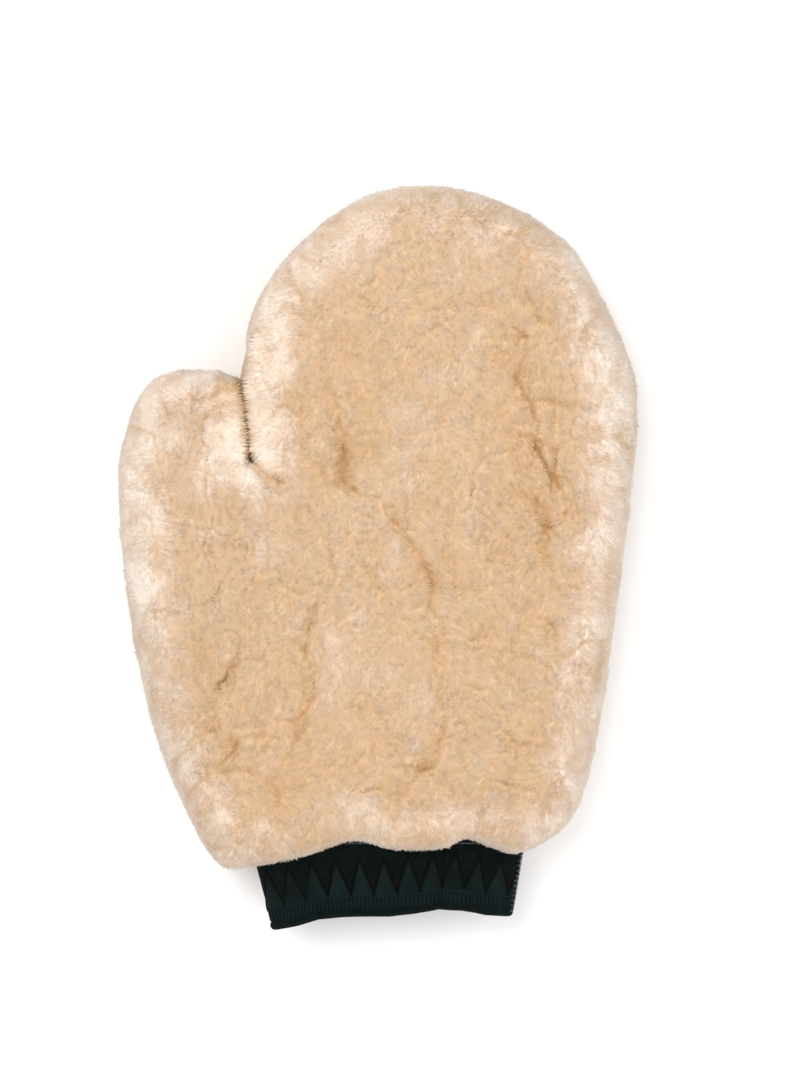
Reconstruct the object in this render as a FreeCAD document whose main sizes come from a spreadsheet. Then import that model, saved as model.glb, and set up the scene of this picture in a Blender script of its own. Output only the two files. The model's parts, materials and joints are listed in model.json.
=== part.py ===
import FreeCAD, Part
import math
import os

from FreeCAD import Rotation, Vector

# A sheepskin wash mitt lying flat on its back panel, palm up, fingers towards +Y.
# Two sheepskin panels (hide with the wool pile outside) are sewn together round the edge and
# turned, the thumb folds at its base, and a double knitted elastic cuff closes the wrist.
# The origin is under the middle of the whole mitt, on the surface that it rests on.

doc = FreeCAD.newDocument("wash_mitt")

# ---------------------------------------------------------------- driving dimensions (mm, deg)
sheet = doc.addObject("Spreadsheet::Sheet", "sizes")
SIZES = [
    ("mitt_length", 299.0, "fingertips to the cuff's edge"),
    ("mitt_width", 210.8, "thumb side to little-finger side"),
    ("pile", 12.0, "wool standing on the hide"),
    ("hide", 1.6, "thickness of the skin"),
    ("hand_gap", 18.0, "clear height between the two skins"),
    ("skin_round", 2.4, "rounding of the skins' inner edge; the pile's is concentric"),
    ("slit_round", 0.5, "end of the slit between thumb and hand"),
    ("seam_width", 2.0, "overlocked seam allowance, across"),
    ("seam_height", 3.2, "overlocked seam allowance, through both skins"),
    ("fold_gap", 0.8, "gap between hand and thumb along the fold"),
    ("fold_flare", 22.0, "half angle of the notch over the fold"),
    ("cuff_top_width", 106.0, "cuff laid flat, where it leaves the pile"),
    ("cuff_end_width", 94.0, "cuff laid flat, at its free edge"),
    ("cuff_thickness", 17.0, "cuff's outer height as it lies"),
    ("cuff_out", 27.5, "cuff showing below the pile"),
    ("cuff_lap", 4.0, "cuff reaching inside the hide"),
    ("cuff_shift", 3.2, "cuff's middle, towards the little finger"),
    ("knit", 1.3, "outer knitted layer"),
    ("lining_knit", 1.0, "turned-in knitted layer"),
    ("rib_height", 8.0, "ribbed edge of the cuff"),
    ("elastic_width", 4.0, "elastic in the hem, along the arm"),
    ("elastic_thickness", 0.7, "elastic in the hem"),
    ("thread", 1.2, "overlock thread of the cuff's seams"),
    ("pile_clearance", 0.4, "pile clear of the cuff's thread"),
    ("skin_clearance", 0.1, "skins clear of the cuff where they are sewn to it"),
]
for row, (alias, value, note) in enumerate(SIZES, start=1):
    sheet.set(f"A{row}", alias)
    sheet.set(f"B{row}", str(value))
    sheet.set(f"C{row}", note)
    sheet.setAlias(f"B{row}", alias)
doc.recompute()


def size(alias):
    return float(sheet.get(alias))


skin_depth = size("pile") + size("hide")
mid_height = skin_depth + size("hand_gap") / 2          # the edge seam's level
fold_height = 2 * mid_height - size("pile")             # the palm skin's outer face
MID = "(sizes.pile + sizes.hide + sizes.hand_gap / 2)"
EDGE_ROUND = "sizes.pile + sizes.hide + sizes.skin_round"

# ---------------------------------------------------------------- outline of the mitt, in plan
# The tightest outward corner still leaves the seam allowance inside it a radius of its own.
inner_corner = skin_depth + size("seam_width") + 2.0
# Corners of the outline as shares of the width and length from the origin, clockwise, and the
# radius that rounds each one. The slit's two sides meet at a long thin corner.
CORNERS = [
    (-0.230, 0.090, size("slit_round")),    # slit between thumb and hand
    (-0.270, 0.347, 62.0),                  # knuckle of the first finger
    (-0.021, 0.500, 62.0),                  # fingertips, thumb side
    (0.297, 0.500, 62.0),                   # fingertips, little-finger side
    (0.500, 0.309, 60.0),                   # little finger
    (0.500, 0.156, 150.0),                  # side of the palm
    (0.385, -0.400, 38.0),                  # heel of the hand
    (-0.342, -0.420, 24.0),                 # wrist, thumb side
    (-0.470, -0.130, 200.0),                # ball of the thumb
    (-0.504, 0.094, 120.0),                 # side of the thumb
    (-0.466, 0.254, 24.0),                  # thumb tip, outside
    (-0.275, 0.254, inner_corner),          # thumb tip, inside
]
# The fold at the thumb's base runs from this place on the outer edge to the end of the slit.
FOLD_OUTSIDE = (-0.401, -0.284)


def in_plan(share_x, share_y):
    return Vector(share_x * size("mitt_width"), share_y * size("mitt_length"), 0)


def rounded_outline(inset):
    """Lines and arcs of the outline, moved inwards by inset. The arcs keep their centres."""
    points = [in_plan(x, y) for x, y, radius in CORNERS]
    count = len(points)
    geometry = []
    ends = []
    for i, corner in enumerate(points):
        run_in, run_out = corner - points[i - 1], points[(i + 1) % count] - corner
        before, after = Vector(run_in).normalize(), Vector(run_out).normalize()
        half_turn = before.getAngle(after) / 2
        room = 0.49 * min(run_in.Length, run_out.Length)
        radius = min(CORNERS[i][2], room / math.tan(half_turn))
        tangent = radius * math.tan(half_turn)
        hollow = before.cross(after).z > 0              # a corner that points into the mitt
        to_centre = Vector(-before.y, before.x, 0) * (radius if hollow else -radius)
        centre = corner - before * tangent + to_centre
        radius += inset if hollow else -inset
        spoke_in = Vector(before.y, -before.x, 0) * (radius if hollow else -radius)
        spoke_out = Vector(after.y, -after.x, 0) * (radius if hollow else -radius)
        first, last = (spoke_in, spoke_out) if hollow else (spoke_out, spoke_in)
        first_angle, last_angle = math.atan2(first.y, first.x), math.atan2(last.y, last.x)
        if last_angle < first_angle:
            last_angle += 2 * math.pi
        circle = Part.Circle(centre, Vector(0, 0, 1), radius)
        geometry.append(Part.ArcOfCircle(circle, first_angle, last_angle))
        ends.append((centre + spoke_in, centre + spoke_out))
    for i in range(count):
        geometry.append(Part.LineSegment(ends[i - 1][1], ends[i][0]))
    return geometry


# ---------------------------------------------------------------- helpers
def new(kind, name, **values):
    made = doc.addObject(kind, name)
    for key, value in values.items():
        setattr(made, key, value)
    return made


def bind(made, **expressions):
    for key, text in expressions.items():
        made.setExpression(key.replace("__", "."), text)
    return made


def cut(name, base, tool):
    return new("Part::Cut", name, Base=base, Tool=tool)


def origin_plane(body, role):
    return [f for f in body.Origin.OriginFeatures if f.Role == role][0]


def blank(name, inset, base_height, height, rounding=None):
    """A slab of the mitt's outline from base_height up, rounded round its lower edge."""
    body = doc.addObject("PartDesign::Body", name)
    sketch = body.newObject("Sketcher::SketchObject", name + "_outline")
    sketch.AttachmentSupport = [(origin_plane(body, "XY_Plane"), "")]
    sketch.MapMode = "FlatFace"
    sketch.addGeometry(rounded_outline(inset), False)
    pad = body.newObject("PartDesign::Pad", name + "_pad")
    pad.Profile = sketch
    pad.Type = "Length"
    pad.setExpression("Length", height)
    doc.recompute()
    if rounding:
        edges = [f"Edge{i}" for i, edge in enumerate(pad.Shape.Edges, start=1)
                 if edge.BoundBox.ZMax < 1e-4]
        fillet = body.newObject("PartDesign::Fillet", name + "_rounding")
        fillet.Base = (pad, edges)
        fillet.setExpression("Radius", rounding)
        body.Tip = fillet
    body.setExpression("Placement.Base.z", base_height)
    return body


def mirror_up(name, source):
    made = new("Part::Mirroring", name, Source=source, Normal=Vector(0, 0, 1))
    return bind(made, Base__z=MID)


def plan_prism(name, points, low, high):
    """An upright prism over a polygon in plan."""
    outline = doc.addObject("Sketcher::SketchObject", name + "_outline")
    for i, point in enumerate(points):
        outline.addGeometry(Part.LineSegment(points[i - 1], point), False)
    outline.Placement.Base.z = low
    made = new("Part::Extrusion", name, Base=outline, Solid=True, DirMode="Normal")
    made.LengthFwd = high - low
    return made


# ---------------------------------------------------------------- sheepskin: pile and hide
fleece_blank = blank("fleece_blank", 0, "0 mm", MID, EDGE_ROUND)
hide_blank = blank("hide_blank", size("pile"), "sizes.pile",
                   "sizes.hide + sizes.hand_gap / 2", "sizes.hide + sizes.skin_round")
cavity_blank = blank("cavity_blank", skin_depth, "sizes.pile + sizes.hide",
                     "sizes.hand_gap / 2", "sizes.skin_round")

back_pile = cut("back_pile", fleece_blank, hide_blank)
back_skin = cut("back_skin", hide_blank, cavity_blank)
palm_pile = mirror_up("palm_pile", back_pile)
palm_skin = mirror_up("palm_skin", back_skin)

# The seam allowance stands inwards where the skins meet, bound by the overlock thread.
seam_outside = blank("seam_outside", skin_depth, f"{MID} - sizes.seam_height / 2",
                     "sizes.seam_height")
seam_inside = blank("seam_inside", skin_depth + size("seam_width"),
                    f"{MID} - sizes.seam_height / 2", "sizes.seam_height")
edge_seam = cut("edge_seam", seam_outside, seam_inside)

# ---------------------------------------------------------------- cuff: flat oval tubes along Y
cuff_end = -0.5 * size("mitt_length")
heel, wrist = in_plan(*CORNERS[6][:2]), in_plan(*CORNERS[7][:2])
cuff_slope = (size("cuff_top_width") - size("cuff_end_width")) / size("cuff_out")


def hide_edge(x):
    """The skins' lower edge, which slants across the wrist."""
    return wrist.y + (heel.y - wrist.y) * (x - wrist.x) / (heel.x - wrist.x) + size("pile")


low_edge = hide_edge(size("cuff_shift") - size("cuff_top_width") / 2)
high_edge = hide_edge(size("cuff_shift") + size("cuff_top_width") / 2)
cuff_top = high_edge + size("hide") + size("cuff_lap")


def oval_width(y):
    """The cuff's outer width at y: it widens evenly up to the hide."""
    return size("cuff_end_width") + cuff_slope * (y - cuff_end)


def oval_tube(name, low, high, depth):
    """A solid flat oval along Y whose wall lies depth inside the cuff's outer face."""
    rings = []
    for end, y in (("low", low), ("high", high)):
        ring = doc.addObject("Part::Ellipse", f"{name}_{end}")
        share = (y - cuff_end) / size("cuff_out")
        bind(ring,
             MajorRadius=f"(sizes.cuff_end_width + (sizes.cuff_top_width - "
                         f"sizes.cuff_end_width) * {share:.6f}) / 2 - ({depth})",
             MinorRadius=f"sizes.cuff_thickness / 2 - ({depth})",
             Placement__Base__x="sizes.cuff_shift",
             Placement__Base__z=MID)
        ring.Placement.Base.y = y
        ring.Placement.Rotation = Rotation(Vector(1, 0, 0), 90)
        rings.append(ring)
    return new("Part::Loft", name, Sections=rings, Solid=True, Ruled=True)


def oval_ring(name, low, high, outside, inside):
    outer = oval_tube(name + "_outer", low, high, outside)
    inner = oval_tube(name + "_inner", low, high, inside)
    return cut(name, outer, inner)


beyond = 12.0                                           # how far a cutting tool passes a face
rib_top = cuff_end + size("rib_height")
zigzag_band = oval_ring("zigzag_band", rib_top, cuff_top, "0", "sizes.knit")
rib_band = oval_ring("rib_band", cuff_end, rib_top, "0", "sizes.knit")
hem_depth = "sizes.knit + sizes.elastic_thickness"
inner_layer = oval_ring("inner_layer", cuff_end, cuff_top, hem_depth,
                        f"{hem_depth} + sizes.lining_knit")
elastic_low = cuff_end + (size("rib_height") - size("elastic_width")) / 2
elastic = oval_ring("elastic", elastic_low, elastic_low + size("elastic_width"),
                    "sizes.knit", hem_depth)
join_high = low_edge - size("fold_gap")
join_seam = oval_ring("join_seam", join_high - size("thread"), join_high, "-sizes.thread", "0")

# The side seam is a cord of overlock stitches down the little-finger edge.
side_seam_rings = []
for end, y in (("low", cuff_end + size("thread")), ("high", join_high - 2 * size("thread"))):
    ring = new("Part::Circle", "side_seam_" + end)
    bind(ring, Radius="sizes.thread / 2", Placement__Base__z=MID)
    reach = (oval_width(y) + size("thread")) / 2 + size("skin_clearance")
    ring.Placement.Base = Vector(size("cuff_shift") + reach, y, mid_height)
    ring.Placement.Rotation = Rotation(Vector(1, 0, 0), 90)
    side_seam_rings.append(ring)
side_seam = new("Part::Loft", "side_seam", Sections=side_seam_rings, Solid=True, Ruled=True)

# ---------------------------------------------------------------- the wrist opening
mouth_through_hide = oval_tube("mouth_through_hide", cuff_end - beyond, cuff_top + beyond,
                               "-sizes.skin_clearance")
mouth_through_pile = oval_tube("mouth_through_pile", cuff_end - beyond, cuff_top + beyond,
                               "-2 * sizes.thread - sizes.pile_clearance")

# ---------------------------------------------------------------- the fold at the thumb's base
slit_corner, hand_corner, thumb_corner = (in_plan(*CORNERS[i][:2]) for i in (0, 1, 11))
hand_edge = (hand_corner - slit_corner).normalize()
thumb_edge = (thumb_corner - slit_corner).normalize()
slit_middle = (hand_edge + thumb_edge).normalize()
slit_half_angle = hand_edge.getAngle(thumb_edge) / 2
fold_from = in_plan(*FOLD_OUTSIDE)
fold_to = slit_corner + slit_middle * (size("slit_round") / math.sin(slit_half_angle))
fold_along = (fold_to - fold_from).normalize()
slit_end = slit_corner + slit_middle * ((thumb_corner - slit_corner).Length + beyond)
full_height = 2 * mid_height
outside_x = -size("mitt_width")
thumb_zone = plan_prism(
    "thumb_zone",
    [fold_from - fold_along * beyond, fold_to, slit_end,
     Vector(outside_x, slit_end.y, 0), Vector(outside_x, (fold_from - fold_along * beyond).y, 0)],
    -beyond, full_height + beyond)

# The gap along the fold is a slot up to the fold's axis and opens into a notch above it.
slot_half = size("fold_gap") / 2
notch_rise = full_height + beyond - fold_height
notch_half = slot_half + notch_rise * math.tan(math.radians(size("fold_flare")))
fold_slot = doc.addObject("Sketcher::SketchObject", "fold_slot")
profile = [(-slot_half, -beyond), (slot_half, -beyond), (slot_half, fold_height),
           (notch_half, fold_height + notch_rise), (-notch_half, fold_height + notch_rise),
           (-slot_half, fold_height)]
for i, (across, up) in enumerate(profile):
    fold_slot.addGeometry(Part.LineSegment(Vector(*profile[i - 1], 0), Vector(across, up, 0)), False)
across_fold = Vector(fold_along.y, -fold_along.x, 0)
fold_slot.Placement = FreeCAD.Placement(
    fold_from - fold_along * beyond, Rotation(across_fold, Vector(0, 0, 1), fold_along * -1, "XYZ"))
fold_notch = new("Part::Extrusion", "fold_notch", Base=fold_slot, Solid=True, DirMode="Normal")
fold_notch.LengthRev = (fold_to - fold_from).Length + beyond


def hand_side(name, source, *openings):
    made = cut(name + "_beside_thumb", source, thumb_zone)
    for number, opening in enumerate(openings, start=1):
        made = cut(f"{name}_open_{number}", made, opening)
    return cut(name, made, fold_notch)


def thumb_side(name, source):
    inside = new("Part::MultiCommon", name + "_zone", Shapes=[source, thumb_zone])
    return cut(name, inside, fold_notch)


# ---------------------------------------------------------------- the sub-parts
PARTS = {
    "palm_fleece": hand_side("palm_fleece", palm_pile, mouth_through_pile),
    "back_fleece": hand_side("back_fleece", back_pile, mouth_through_pile),
    "palm_hide": hand_side("palm_hide", palm_skin, mouth_through_hide),
    "back_hide": hand_side("back_hide", back_skin, mouth_through_hide),
    "hand_edge_seam": hand_side("hand_edge_seam", edge_seam, mouth_through_hide),
    "thumb_palm_fleece": thumb_side("thumb_palm_fleece", palm_pile),
    "thumb_back_fleece": thumb_side("thumb_back_fleece", back_pile),
    "thumb_palm_hide": thumb_side("thumb_palm_hide", palm_skin),
    "thumb_back_hide": thumb_side("thumb_back_hide", back_skin),
    "thumb_edge_seam": thumb_side("thumb_edge_seam", edge_seam),
    "cuff_zigzag_band": zigzag_band,
    "cuff_rib_band": rib_band,
    "cuff_inner_layer": inner_layer,
    "cuff_elastic": elastic,
    "cuff_side_seam": side_seam,
    "cuff_join_seam": join_seam,
}
for label, made in PARTS.items():
    made.Label = label
doc.recompute()

failed = [made.Name for made in doc.Objects if {"Invalid", "Error"} & set(made.State)]
if failed:
    raise RuntimeError("features that did not build: " + ", ".join(failed))
for label, made in PARTS.items():
    if made.Shape.isNull() or not made.Shape.isValid():
        raise RuntimeError(label + " has no valid shape")

os.makedirs("parts", exist_ok=True)
for label, made in PARTS.items():
    made.Shape.exportStep(os.path.join("parts", label + ".step"))
    box = made.Shape.optimalBoundingBox(False, False)
    print(f"{label:18s} solids {len(made.Shape.Solids)}  volume {made.Shape.Volume / 1000:8.2f} cm3"
          f"  x {box.XMin:7.1f} {box.XMax:6.1f}  y {box.YMin:7.1f} {box.YMax:6.1f}"
          f"  z {box.ZMin:5.1f} {box.ZMax:5.1f}")
print(f"thumb fold: through ({fold_to.x:.2f}, {fold_to.y:.2f}, {fold_height:.2f})"
      f" along ({fold_along.x:.4f}, {fold_along.y:.4f}, 0)")
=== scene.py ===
import json
import math
import bpy
import numpy as np
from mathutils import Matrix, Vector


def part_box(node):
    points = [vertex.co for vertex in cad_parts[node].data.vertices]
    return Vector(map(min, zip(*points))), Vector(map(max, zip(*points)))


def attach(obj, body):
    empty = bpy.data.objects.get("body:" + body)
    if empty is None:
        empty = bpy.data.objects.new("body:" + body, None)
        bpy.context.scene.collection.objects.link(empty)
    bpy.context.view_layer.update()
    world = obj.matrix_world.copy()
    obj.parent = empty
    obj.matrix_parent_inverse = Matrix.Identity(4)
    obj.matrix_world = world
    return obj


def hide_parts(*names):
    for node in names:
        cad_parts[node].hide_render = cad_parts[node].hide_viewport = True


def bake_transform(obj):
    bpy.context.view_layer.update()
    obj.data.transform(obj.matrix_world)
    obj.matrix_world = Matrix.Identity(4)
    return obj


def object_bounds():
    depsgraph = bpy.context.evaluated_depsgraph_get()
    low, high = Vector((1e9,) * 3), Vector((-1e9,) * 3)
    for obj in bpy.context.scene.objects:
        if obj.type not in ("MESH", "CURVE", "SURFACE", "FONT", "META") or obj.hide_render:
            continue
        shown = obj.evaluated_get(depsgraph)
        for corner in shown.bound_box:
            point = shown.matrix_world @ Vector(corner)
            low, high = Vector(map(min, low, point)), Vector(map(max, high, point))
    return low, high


# A sheepskin wash mitt lying palm up. The wool is a relief surface with tapered locks lying on it,
# and the cuff is knitted tubes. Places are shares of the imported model's box, in metres.

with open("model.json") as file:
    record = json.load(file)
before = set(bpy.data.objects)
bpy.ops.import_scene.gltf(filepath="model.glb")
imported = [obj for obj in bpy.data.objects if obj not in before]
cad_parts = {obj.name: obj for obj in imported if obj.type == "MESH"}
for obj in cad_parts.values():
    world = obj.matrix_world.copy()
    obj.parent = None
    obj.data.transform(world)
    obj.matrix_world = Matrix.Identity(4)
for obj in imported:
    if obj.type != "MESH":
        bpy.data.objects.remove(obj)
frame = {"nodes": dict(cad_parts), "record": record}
cadLow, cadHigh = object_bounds()
rng = np.random.default_rng(20614)

mm = 0.001
mittWidth = cadHigh.x - cadLow.x
mittLength = cadHigh.y - cadLow.y
midHeight = (cadHigh.z + cadLow.z) / 2
foldJoint = next(j for j in frame["record"]["behaviour"]["joints"] if j["name"] == "thumb_fold")

view = {"distance": 1.5, "pictureShare": 0.6845, "aim": (0.0436, 0.0140)}


def addCamera():
    # the picture's height is the mitt's length over the share of the picture that it fills
    camera = bpy.data.objects.new("camera", bpy.data.cameras.new("camera"))
    bpy.context.collection.objects.link(camera)
    camera.data.sensor_width = 36.0
    camera.data.lens = 36.0 * view["distance"] * view["pictureShare"] / mittLength
    camera.data.clip_start, camera.data.clip_end = 0.05, 20.0
    camera.location = (view["aim"][0] * mittWidth, view["aim"][1] * mittLength,
                       midHeight + view["distance"])
    bpy.context.scene.camera = camera


lights = {
    "key": {"place": (-0.8, 0.8, 1.9), "size": 1.8, "power": 27.0, "color": (1.0, 0.985, 0.96)},
    "fill": {"place": (1.3, -0.4, 1.6), "size": 2.4, "power": 15.0, "color": (0.97, 0.98, 1.0)},
    "low": {"place": (0.1, -1.6, 0.8), "size": 1.6, "power": 6.0, "color": (1.0, 1.0, 1.0)},
}
surround = {"color": (1.0, 1.0, 1.0), "strength": 0.75}


def addLights():
    for name, light in lights.items():
        lamp = bpy.data.lights.new(name, "AREA")
        lamp.shape, lamp.size = "DISK", light["size"]
        lamp.energy, lamp.color = light["power"], light["color"]
        holder = bpy.data.objects.new(name, lamp)
        holder.location = light["place"]
        holder.rotation_euler = holder.location.to_track_quat("Z", "Y").to_euler()
        bpy.context.collection.objects.link(holder)
    world = bpy.data.worlds.new("surround")
    world.use_nodes = True
    world.node_tree.nodes["Background"].inputs["Color"].default_value = (*surround["color"], 1)
    world.node_tree.nodes["Background"].inputs["Strength"].default_value = surround["strength"]
    bpy.context.scene.world = world
    bpy.context.scene.view_settings.view_transform = "Standard"


class Signal:
    # a node's output: Python arithmetic on it adds Math nodes

    def __init__(self, board, socket):
        self.board, self.socket = board, socket

    def join(self, operation, first, second):
        return self.board.add("ShaderNodeMath", {"operation": operation}, {0: first, 1: second})[0]

    def __add__(self, other):
        return self.join("ADD", self, other)

    def __sub__(self, other):
        return self.join("SUBTRACT", self, other)

    def __mul__(self, other):
        return self.join("MULTIPLY", self, other)


class Board:
    # the nodes of one material

    def __init__(self, name):
        self.material = bpy.data.materials.new(name)
        self.material.use_nodes = True
        self.tree = self.material.node_tree
        self.surface = self.tree.nodes["Principled BSDF"]

    def add(self, kind, settings, inputs):
        node = self.tree.nodes.new(kind)
        for key, value in settings.items():
            if key == "stops":
                elements = node.color_ramp.elements
                while len(elements) < len(value):
                    elements.new(0.5)
                for element, (place, color) in zip(elements, value):
                    element.position, element.color = place, (*color, 1)
            else:
                setattr(node, key, value)
        for key, value in inputs.items():
            self.feed(node.inputs[key], value)
        return [Signal(self, socket) for socket in node.outputs]

    def feed(self, socket, value):
        if isinstance(value, Signal):
            self.tree.links.new(value.socket, socket)
        elif isinstance(value, tuple) and socket.type == "RGBA":
            socket.default_value = (*value, 1)
        else:
            socket.default_value = value

    def place(self):
        return self.add("ShaderNodeTexCoord", {}, {})[3]

    def own(self, attribute):
        return self.add("ShaderNodeAttribute", {"attribute_name": attribute}, {})[2]

    def noise(self, size, detail=3.0, vector=None):
        return self.add("ShaderNodeTexNoise", {}, {"Vector": vector or self.place(),
                        "Scale": 1 / size, "Detail": detail})[0]

    def ramp(self, share, stops):
        return self.add("ShaderNodeValToRGB", {"stops": stops}, {0: share})[0]

    def bump(self, height, depth, strength=1.0):
        return self.add("ShaderNodeBump", {}, {"Height": height, "Distance": depth,
                        "Strength": strength})[0]

    def finish(self, inputs):
        for key, value in inputs.items():
            self.feed(self.surface.inputs[key], value)
        return self.material


def smooth(low, high, value):
    share = np.clip((value - low) / (high - low), 0, 1)
    return share * share * (3 - 2 * share)


def hashed(ix, iy, seed):
    # a fixed random number from -1 to 1 for each whole-number cell
    mixed = (ix.astype(np.int64) * 374761393 + iy.astype(np.int64) * 668265263
             + seed * 974634777) & 0xFFFFFFFF
    mixed = ((mixed ^ (mixed >> 13)) * 1274126177) & 0xFFFFFFFF
    mixed = ((mixed ^ (mixed >> 16)) * 2246822519) & 0xFFFFFFFF
    return ((mixed ^ (mixed >> 15)) & 0xFFFFFF) / 8388607.5 - 1


def noise(x, y, size, seed, octaves=1):
    # smooth noise about -1 to 1: random values at cell corners, eased between, halved per octave
    total = np.zeros(np.broadcast(x, y).shape)
    for octave in range(octaves):
        gx, gy = x / size * 2 ** octave + 17.3, y / size * 2 ** octave + 31.7
        ix, iy = np.floor(gx), np.floor(gy)
        fx, fy = gx - ix, gy - iy
        fx, fy = fx ** 3 * (fx * (fx * 6 - 15) + 10), fy ** 3 * (fy * (fy * 6 - 15) + 10)
        low = hashed(ix, iy, seed + octave) * (1 - fx) + hashed(ix + 1, iy, seed + octave) * fx
        high = hashed(ix, iy + 1, seed + octave) * (1 - fx) + hashed(ix + 1, iy + 1, seed + octave) * fx
        total += (low * (1 - fy) + high * fy) * 0.5 ** octave
    return total


def throughPoints(points, samples):
    # a Catmull-Rom curve through the points, with samples evenly along it
    points = np.asarray(points, float)
    padded = np.vstack([2 * points[:1] - points[1:2], points, 2 * points[-1:] - points[-2:-1]])
    t = np.linspace(0, 1, 24, endpoint=False)[None, :, None]
    a, b, c, d = (padded[i:len(padded) - 3 + i, None, :] for i in range(4))
    curve = 0.5 * (2 * b + (c - a) * t + (2 * a - 5 * b + 4 * c - d) * t ** 2
                   + (3 * b - a - 3 * c + d) * t ** 3)
    curve = np.vstack([curve.reshape(-1, points.shape[1]), points[-1:]])
    return evenly(curve, samples)


def evenly(curve, samples):
    run = np.concatenate([[0], np.cumsum(np.linalg.norm(np.diff(curve, axis=0), axis=1))])
    places = np.linspace(0, run[-1], samples)
    return np.stack([np.interp(places, run, curve[:, k]) for k in range(curve.shape[1])], axis=1)


def distanceToLine(x, y, line, chunk=6000):
    # shortest distance from each point to a polyline, and the share along it of the nearest place
    start, along = line[:-1], line[1:] - line[:-1]
    length2 = np.maximum((along ** 2).sum(1), 1e-18)
    flatX, flatY = x.ravel(), y.ravel()
    distance, share = np.empty(flatX.size), np.empty(flatX.size)
    for first in range(0, flatX.size, chunk):
        part = slice(first, first + chunk)
        dx = flatX[part, None] - start[None, :, 0]
        dy = flatY[part, None] - start[None, :, 1]
        t = np.clip((dx * along[:, 0] + dy * along[:, 1]) / length2, 0, 1)
        squared = (dx - t * along[:, 0]) ** 2 + (dy - t * along[:, 1]) ** 2
        best = squared.argmin(1)
        rows = np.arange(best.size)
        distance[part] = np.sqrt(squared[rows, best])
        share[part] = (best + t[rows, best]) / len(start)
    return distance.reshape(x.shape), share.reshape(x.shape)


def gridFaces(rows, columns, wrapRows=False, wrapColumns=False):
    # quads of a grid whose vertices run row by row
    i = np.arange(rows if wrapRows else rows - 1)[:, None]
    j = np.arange(columns if wrapColumns else columns - 1)[None, :]
    nextI, nextJ = (i + 1) % rows, (j + 1) % columns
    return np.stack([i * columns + j, i * columns + nextJ, nextI * columns + nextJ,
                     nextI * columns + j], axis=-1).reshape(-1, 4)


def gridUV(rows, columns, low=(0, 0), high=(1, 1)):
    # a rectangle of the map laid over rows by columns of faces
    u = np.arange(columns)[None, :, None] / columns + np.array([0, 1, 1, 0]) / columns
    v = np.arange(rows)[:, None, None] / rows + np.array([0, 0, 1, 1]) / rows
    uv = np.stack(np.broadcast_arrays(u, v), axis=-1).reshape(-1, 4, 2)
    return np.array(low) + uv * (np.array(high) - low)


def buildMesh(name, vertices, faceBlocks, material, uv=None, values=None, normals=None):
    # puts whole arrays into a new mesh; each block of faces has one number of corners
    mesh = bpy.data.meshes.new(name)
    corners = np.concatenate([block.ravel() for block in faceBlocks])
    counts = np.concatenate([np.full(len(block), block.shape[1]) for block in faceBlocks])
    mesh.vertices.add(len(vertices))
    mesh.vertices.foreach_set("co", np.asarray(vertices, np.float32).ravel())
    mesh.loops.add(len(corners))
    mesh.loops.foreach_set("vertex_index", corners.astype(np.int32))
    mesh.polygons.add(len(counts))
    starts = np.concatenate([[0], np.cumsum(counts)[:-1]])
    mesh.polygons.foreach_set("loop_start", starts.astype(np.int32))
    mesh.polygons.foreach_set("use_smooth", np.ones(len(counts), bool))
    mesh.update(calc_edges=True)
    if uv is not None:
        layer = mesh.uv_layers.new(name="OFBake")
        layer.data.foreach_set("uv", np.asarray(uv, np.float32).ravel())
    for key, value in (values or {}).items():
        attribute = mesh.attributes.new(key, "FLOAT", "POINT")
        attribute.data.foreach_set("value", np.asarray(value, np.float32).ravel())
    if normals is not None:
        mesh.normals_split_custom_set_from_vertices(np.asarray(normals, np.float32))
    mesh.materials.append(material)
    made = bpy.data.objects.new(name, mesh)
    bpy.context.collection.objects.link(made)
    return made


def inPlan(shares):
    # shares of the mitt's width and length from the origin, as metres
    return np.asarray(shares, float) * [mittWidth, mittLength]


# both lines run clockwise from the end of the slit between hand and thumb to the fold's lower end
outline = {
    "hand": [(-0.237, 0.127), (-0.247, 0.190), (-0.256, 0.262), (-0.246, 0.322), (-0.205, 0.378),
             (-0.124, 0.439), (-0.043, 0.480), (0.042, 0.4985), (0.130, 0.4985), (0.212, 0.486),
             (0.298, 0.458), (0.378, 0.414), (0.430, 0.352), (0.470, 0.292), (0.497, 0.235),
             (0.500, 0.165), (0.490, 0.085), (0.470, -0.030), (0.446, -0.150), (0.418, -0.265),
             (0.380, -0.348), (0.322, -0.386), (0.262, -0.402), (0.210, -0.392), (0.168, -0.382),
             (0.133, -0.393), (0.080, -0.396), (0.020, -0.394), (-0.046, -0.384), (-0.139, -0.405),
             (-0.235, -0.419), (-0.290, -0.421),
             (-0.332, -0.392), (-0.357, -0.360)],
    "thumb": [(-0.357, -0.360), (-0.400, -0.295), (-0.433, -0.225), (-0.458, -0.150),
              (-0.478, -0.070), (-0.492, 0.010), (-0.498, 0.084), (-0.496, 0.129), (-0.486, 0.161),
              (-0.471, 0.197), (-0.450, 0.224), (-0.420, 0.244), (-0.370, 0.2535), (-0.306, 0.251),
              (-0.282, 0.240), (-0.258, 0.229), (-0.249, 0.205), (-0.243, 0.165), (-0.237, 0.127)],
}
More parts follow.
